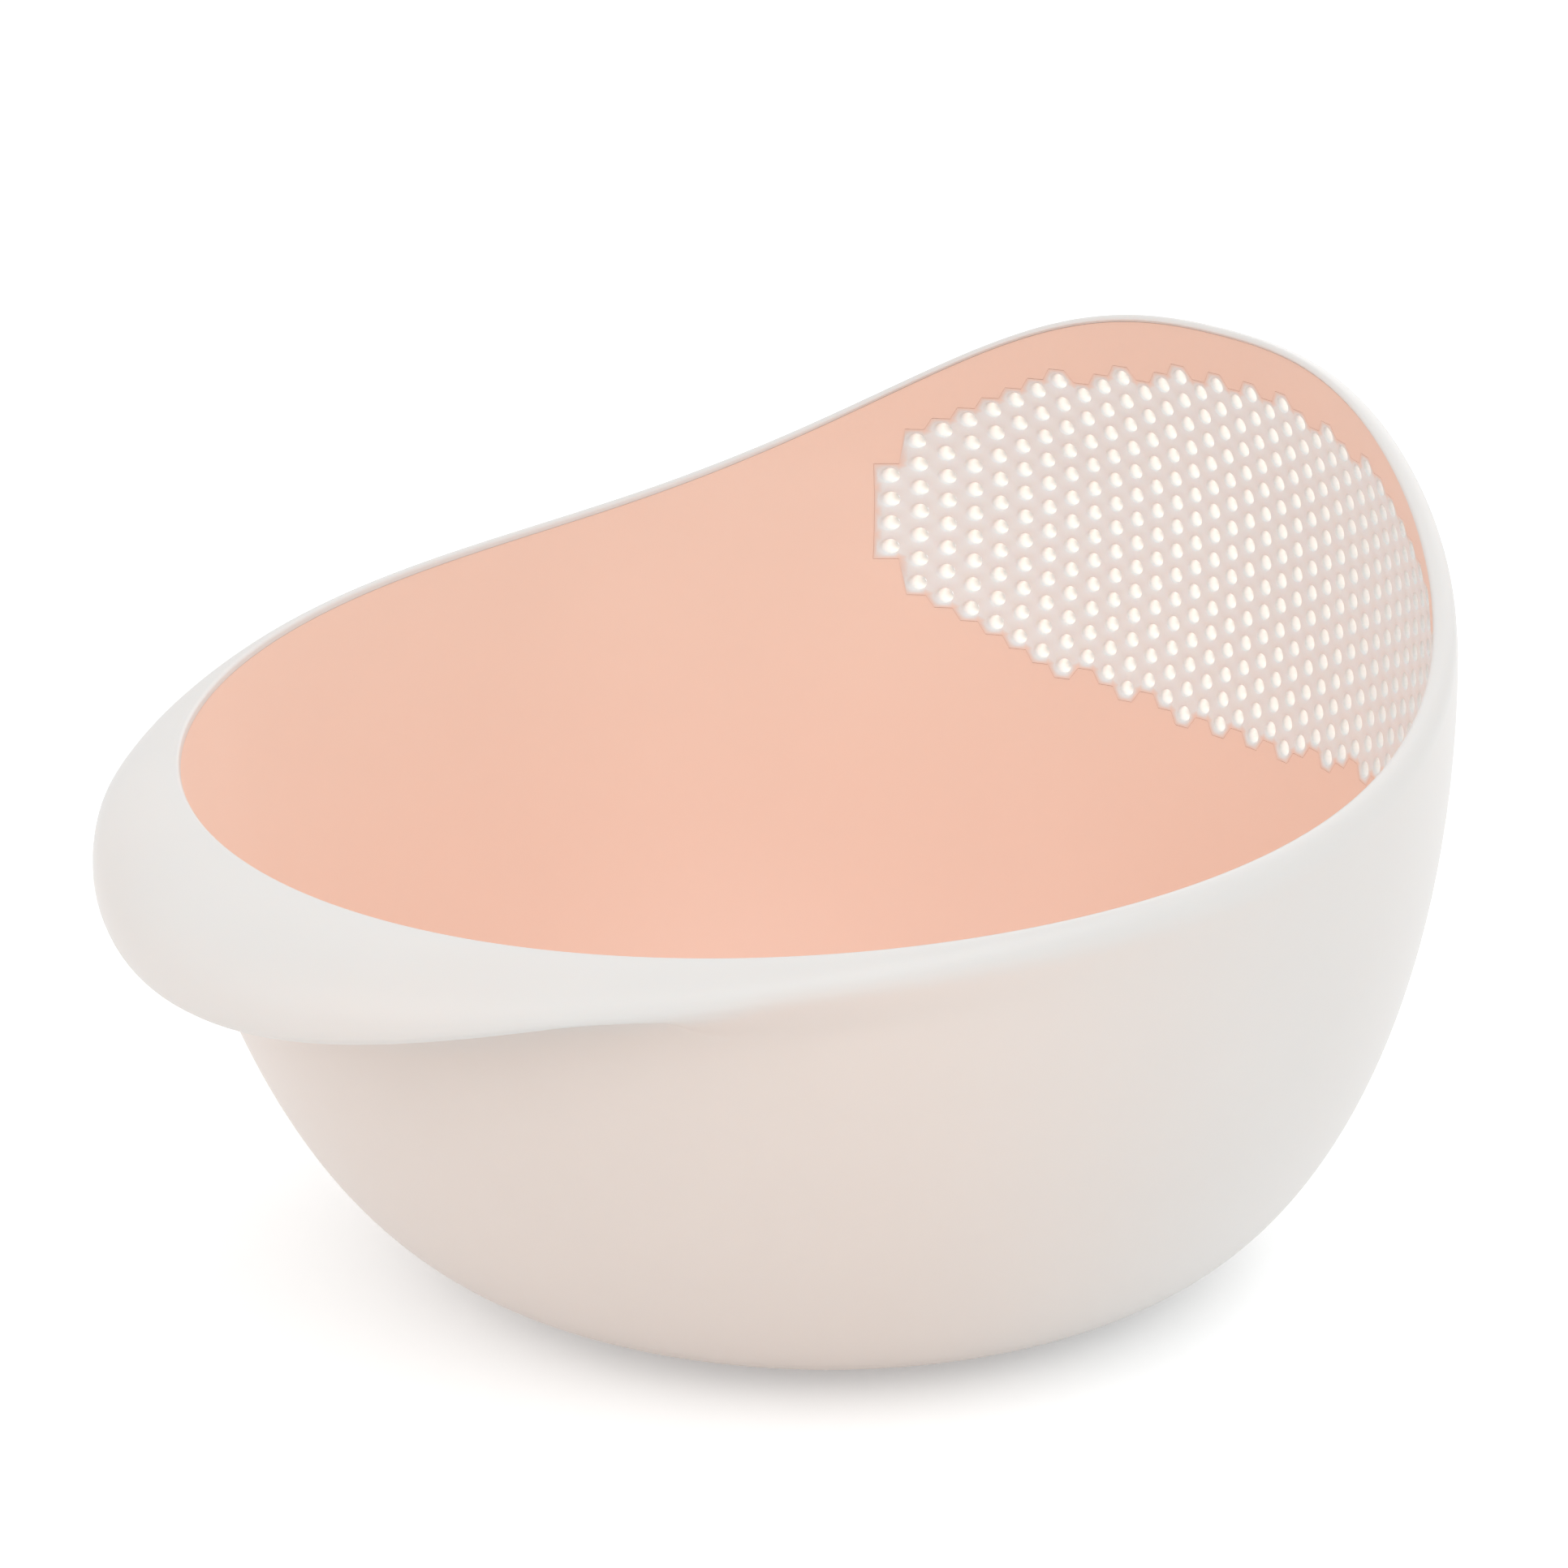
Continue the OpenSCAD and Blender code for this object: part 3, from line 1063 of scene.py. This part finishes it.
@dataclass(frozen=True)
class InnerLiner:
    """The pink liner with its window for the drain panel and its foot ring."""

    body: BodyForm = field(default_factory=BodyForm)
    drain: DrainField = field(default_factory=DrainField)
    floor_t: float = 2.2
    joint: float = 0.05
    foot_w: float = 5.0
    foot_edge: float = 0.6
    under_shares: tuple[float, ...] = (0.75, 0.5, 0.25)
    floor_rows: int = 8
    wall_rows: int = 54
    hidden_rows: int = 16
    round_steps: int = 3

    def profiles(self, angle: np.ndarray) -> tuple[np.ndarray, int, int]:
        """Half sections of the liner, from its floor up and round to its underside.

        Args:
            angle: One angle for each section.

        Returns:
            Radii and heights, sections by points by 2, the number of the first point of
            the inner wall, and the number of the first point of the outer wall.
        """
        body = self.body
        one = np.ones(len(angle))
        top = body.rim(angle) - body.band_h - self.joint
        outer_t = body.shell_t + body.fit_gap
        floor_r = body.foot_r * np.arange(1, self.floor_rows) / self.floor_rows
        floor = np.stack(
            [one[:, None] * floor_r, np.full((len(angle), len(floor_r)), body.full_t)], -1
        )
        wall_z = body.heights(body.full_t, top, self.wall_rows)
        wall = np.stack([body.radius(wall_z, body.full_t), wall_z], -1)
        back_z = body.heights(outer_t, top, self.hidden_rows)[:, :0:-1]
        back = np.stack([body.radius(back_z, outer_t), back_z], -1)
        ring_out = body.foot_r - body.fit_gap - self.foot_edge
        ring_in = ring_out - self.foot_w
        under = body.full_t - self.floor_t
        rows = [
            (body.foot_r + body.seat_w, body.shell_t),
            (body.foot_r - body.fit_gap, body.shell_t),
            (body.foot_r - body.fit_gap, under),
            (ring_out, under),
        ]
        corners = ((ring_out - self.foot_edge, 0.0), (ring_in + self.foot_edge, 90.0))
        for centre, start in corners:
            for step in range(self.round_steps + 1):
                turn = math.radians(start + 90.0 * step / self.round_steps)
                rows.append(
                    (
                        centre + self.foot_edge * math.cos(turn),
                        self.foot_edge * (1.0 - math.sin(turn)) - body.foot_h,
                    )
                )
        rows += [(ring_in * share, under) for share in (1.0, *self.under_shares)]
        low = one[:, None, None] * np.array(rows)[None]
        wall_at = floor.shape[1]
        back_at = wall_at + wall.shape[1]
        return np.concatenate([floor, wall, back, low], 1), wall_at, back_at

    def build(self) -> bpy.types.Object:
        """Makes the liner with its window.

        Returns:
            The piece.
        """
        body, drain = self.body, self.drain
        angle = body.angles()
        profile, wall_at, back_at = self.profiles(angle)
        spots = body.place(angle, profile)
        skin = Skin()
        grid = skin.add(spots)
        gone = np.zeros(grid.shape, bool)
        inside = drain.nearness(spots, drain.clear_w, drain.clear_h) < 1.0
        wall = slice(wall_at, back_at)
        back = slice(back_at, back_at + self.hidden_rows)
        gone[:, wall], wall_edge = open_zone(grid[:, wall], inside[:, wall])
        gone[:, back], back_edge = open_zone(grid[:, back], inside[:, back])
        skin.loft(grid, False, gone)
        for ring, z in ((grid[:, 0], body.full_t), (grid[:, -1], body.full_t - self.floor_t)):
            middle = body.place(np.zeros(1), np.array([[[0.0, z]]]))
            skin.fan(ring, int(skin.add(middle)[0, 0]))
        border = drain.outline(self.joint)
        front = skin.add(drain.on_wall(border, body.full_t))
        rear = skin.add(drain.on_wall(border, body.shell_t + body.fit_gap))
        skin.band(front, rear)
        places = drain.places_of(skin.all_points())
        none = np.zeros(0, int)
        skin.knit(wall_edge, places, none, front)
        skin.knit(back_edge, places, none, rear)
        points = skin.all_points()
        # Painted shade: 1 at the floor of the bowl, fading to 0 at the front rim's height.
        deep = ease(1.0 - (points[:, 2] - body.foot_h) / body.front_h)
        return skin.mesh("pink_liner", {"depth": deep})

    def dress(self, piece: bpy.types.Object) -> None:
        """Gives the piece its plastic and its place in the model.

        Args:
            piece: The piece that build made.
        """
        piece.data.materials.append(PINK_PLASTIC.material())
        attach(piece, "root")
        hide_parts("inner_liner")


class Side(Enum):
    """Where a lamp stands, as azimuth and height in degrees."""

    KEY = (78.0, 48.0)
    FILL = (-10.0, 30.0)
    BACK = (200.0, 30.0)


@dataclass(frozen=True)
class SoftLamp:
    """A square soft lamp that looks at the basket, with its lengths in metres."""

    side: Side
    power: float
    size: float = 0.9
    distance: float = 1.15

    def place(self, aim: Vector) -> None:
        """Adds the lamp to the scene.

        Args:
            aim: The point that it is turned to.
        """
        away = towards(*(math.radians(angle) for angle in self.side.value))
        lamp = bpy.data.lights.new(f"lamp_{self.side.name.lower()}", "AREA")
        lamp.energy = self.power
        lamp.size = self.size
        made = bpy.data.objects.new(lamp.name, lamp)
        made.location = aim + away * self.distance
        made.rotation_euler = away.to_track_quat("Z", "Y").to_euler()
        bpy.context.scene.collection.objects.link(made)


@dataclass(frozen=True)
class Studio:
    """The pale floor, the soft light and the camera at the photograph's place.

    Lengths are in metres here, and angles in degrees.
    """

    floor_size: float = 8.0
    floor_colour: Colour = (0.9, 0.918, 0.925, 1.0)
    floor_glow: float = 0.328
    world_light: float = 0.77
    azimuth: float = 49.86
    lift: float = 19.96
    roll: float = 0.205
    distance: float = 0.7706
    focal_px: float = 5934.0
    picture_px: float = 1932.0
    right_px: float = 35.88
    down_px: float = 97.53
    clip: tuple[float, float] = (0.05, 50.0)
    aim: tuple[float, float, float] = (0.0, -0.00281, 0.0637)
    lamps: tuple[SoftLamp, ...] = (
        SoftLamp(Side.KEY, 2.9),
        SoftLamp(Side.FILL, 1.6),
        SoftLamp(Side.BACK, 2.4),
    )

    def camera(self) -> None:
        """Adds the camera."""
        turn, lift, roll = (math.radians(a) for a in (self.azimuth, self.lift, self.roll))
        back = towards(turn, lift)
        level = Vector((math.cos(turn), math.sin(turn), 0.0))
        upright = back.cross(level)
        right = level * math.cos(roll) + upright * math.sin(roll)
        up = back.cross(right)
        lens = bpy.data.cameras.new("camera")
        lens.sensor_width = SENSOR_MM
        lens.lens = self.focal_px / self.picture_px * lens.sensor_width
        lens.shift_x = -self.right_px / self.picture_px
        lens.shift_y = self.down_px / self.picture_px
        lens.clip_start, lens.clip_end = self.clip
        made = bpy.data.objects.new("camera", lens)
        turned = Matrix((right, up, back)).transposed().to_4x4()
        turned.translation = Vector(self.aim) + back * self.distance
        made.matrix_world = turned
        bpy.context.scene.collection.objects.link(made)
        bpy.context.scene.camera = made

    def seen(self, tree: bpy.types.NodeTree) -> bpy.types.NodeSocket:
        """A mask that is 1 for rays from the camera, or through gloss or glass.

        Args:
            tree: The node tree that gets the nodes.

        Returns:
            The mask's socket.
        """
        path = tree.nodes.new("ShaderNodeLightPath")
        found = path.outputs["Is Camera Ray"]
        for name in ("Is Glossy Ray", "Is Transmission Ray"):
            found = math_node(tree, "MAXIMUM", found, path.outputs[name])
        return found

    def world(self) -> None:
        """Lights the scene evenly and shows white behind it."""
        world = bpy.data.worlds.new("studio")
        bpy.context.scene.world = world
        world.use_nodes = True
        tree = world.node_tree
        tree.nodes.clear()
        out = tree.nodes.new("ShaderNodeOutputWorld")
        shade = tree.nodes.new("ShaderNodeBackground")
        shade.inputs["Color"].default_value = WHITE
        level = tree.nodes.new("ShaderNodeMix")
        level.data_type = "FLOAT"
        level.inputs[2].default_value = self.world_light
        level.inputs[3].default_value = 1.0
        tree.links.new(self.seen(tree), level.inputs[0])
        tree.links.new(level.outputs[0], shade.inputs["Strength"])
        tree.links.new(shade.outputs[0], out.inputs["Surface"])

    def floor(self) -> None:
        """Lays the pale floor, which shows white and keeps the basket's shadow."""
        bpy.ops.mesh.primitive_plane_add(size=self.floor_size, location=(0.0, 0.0, 0.0))
        floor = bpy.context.object
        floor.name = "floor"
        paper = bpy.data.materials.new("white_paper")
        paper.use_nodes = True
        tree = paper.node_tree
        tree.nodes.clear()
        out = tree.nodes.new("ShaderNodeOutputMaterial")
        plain = tree.nodes.new("ShaderNodeBsdfDiffuse")
        plain.inputs["Color"].default_value = self.floor_colour
        glow = tree.nodes.new("ShaderNodeEmission")
        glow.inputs["Color"].default_value = WHITE
        level = math_node(tree, "MULTIPLY", self.seen(tree), self.floor_glow)
        tree.links.new(level, glow.inputs["Strength"])
        both = tree.nodes.new("ShaderNodeAddShader")
        tree.links.new(plain.outputs[0], both.inputs[0])
        tree.links.new(glow.outputs[0], both.inputs[1])
        tree.links.new(both.outputs[0], out.inputs["Surface"])
        floor.data.materials.append(paper)

    def build(self) -> None:
        """Sets up the camera, the light and the floor."""
        self.camera()
        self.world()
        self.floor()
        for lamp in self.lamps:
            lamp.place(Vector(self.aim))


def report(piece: bpy.types.Object) -> None:
    """Logs a piece's name, size and number of faces."""
    size = ", ".join(f"{length / MM:.1f}" for length in piece.dimensions)
    LOG.info("%s: %s mm, %d faces", piece.name, size, len(piece.data.polygons))


def main() -> None:
    """Builds the studio and both pieces."""
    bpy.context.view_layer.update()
    scene = bpy.context.scene
    scene.view_settings.view_transform = "Standard"
    Studio().build()
    for part in (OuterShell(), InnerLiner()):
        piece = part.build()
        part.dress(piece)
        report(piece)


if __name__ == "__main__":
    main()
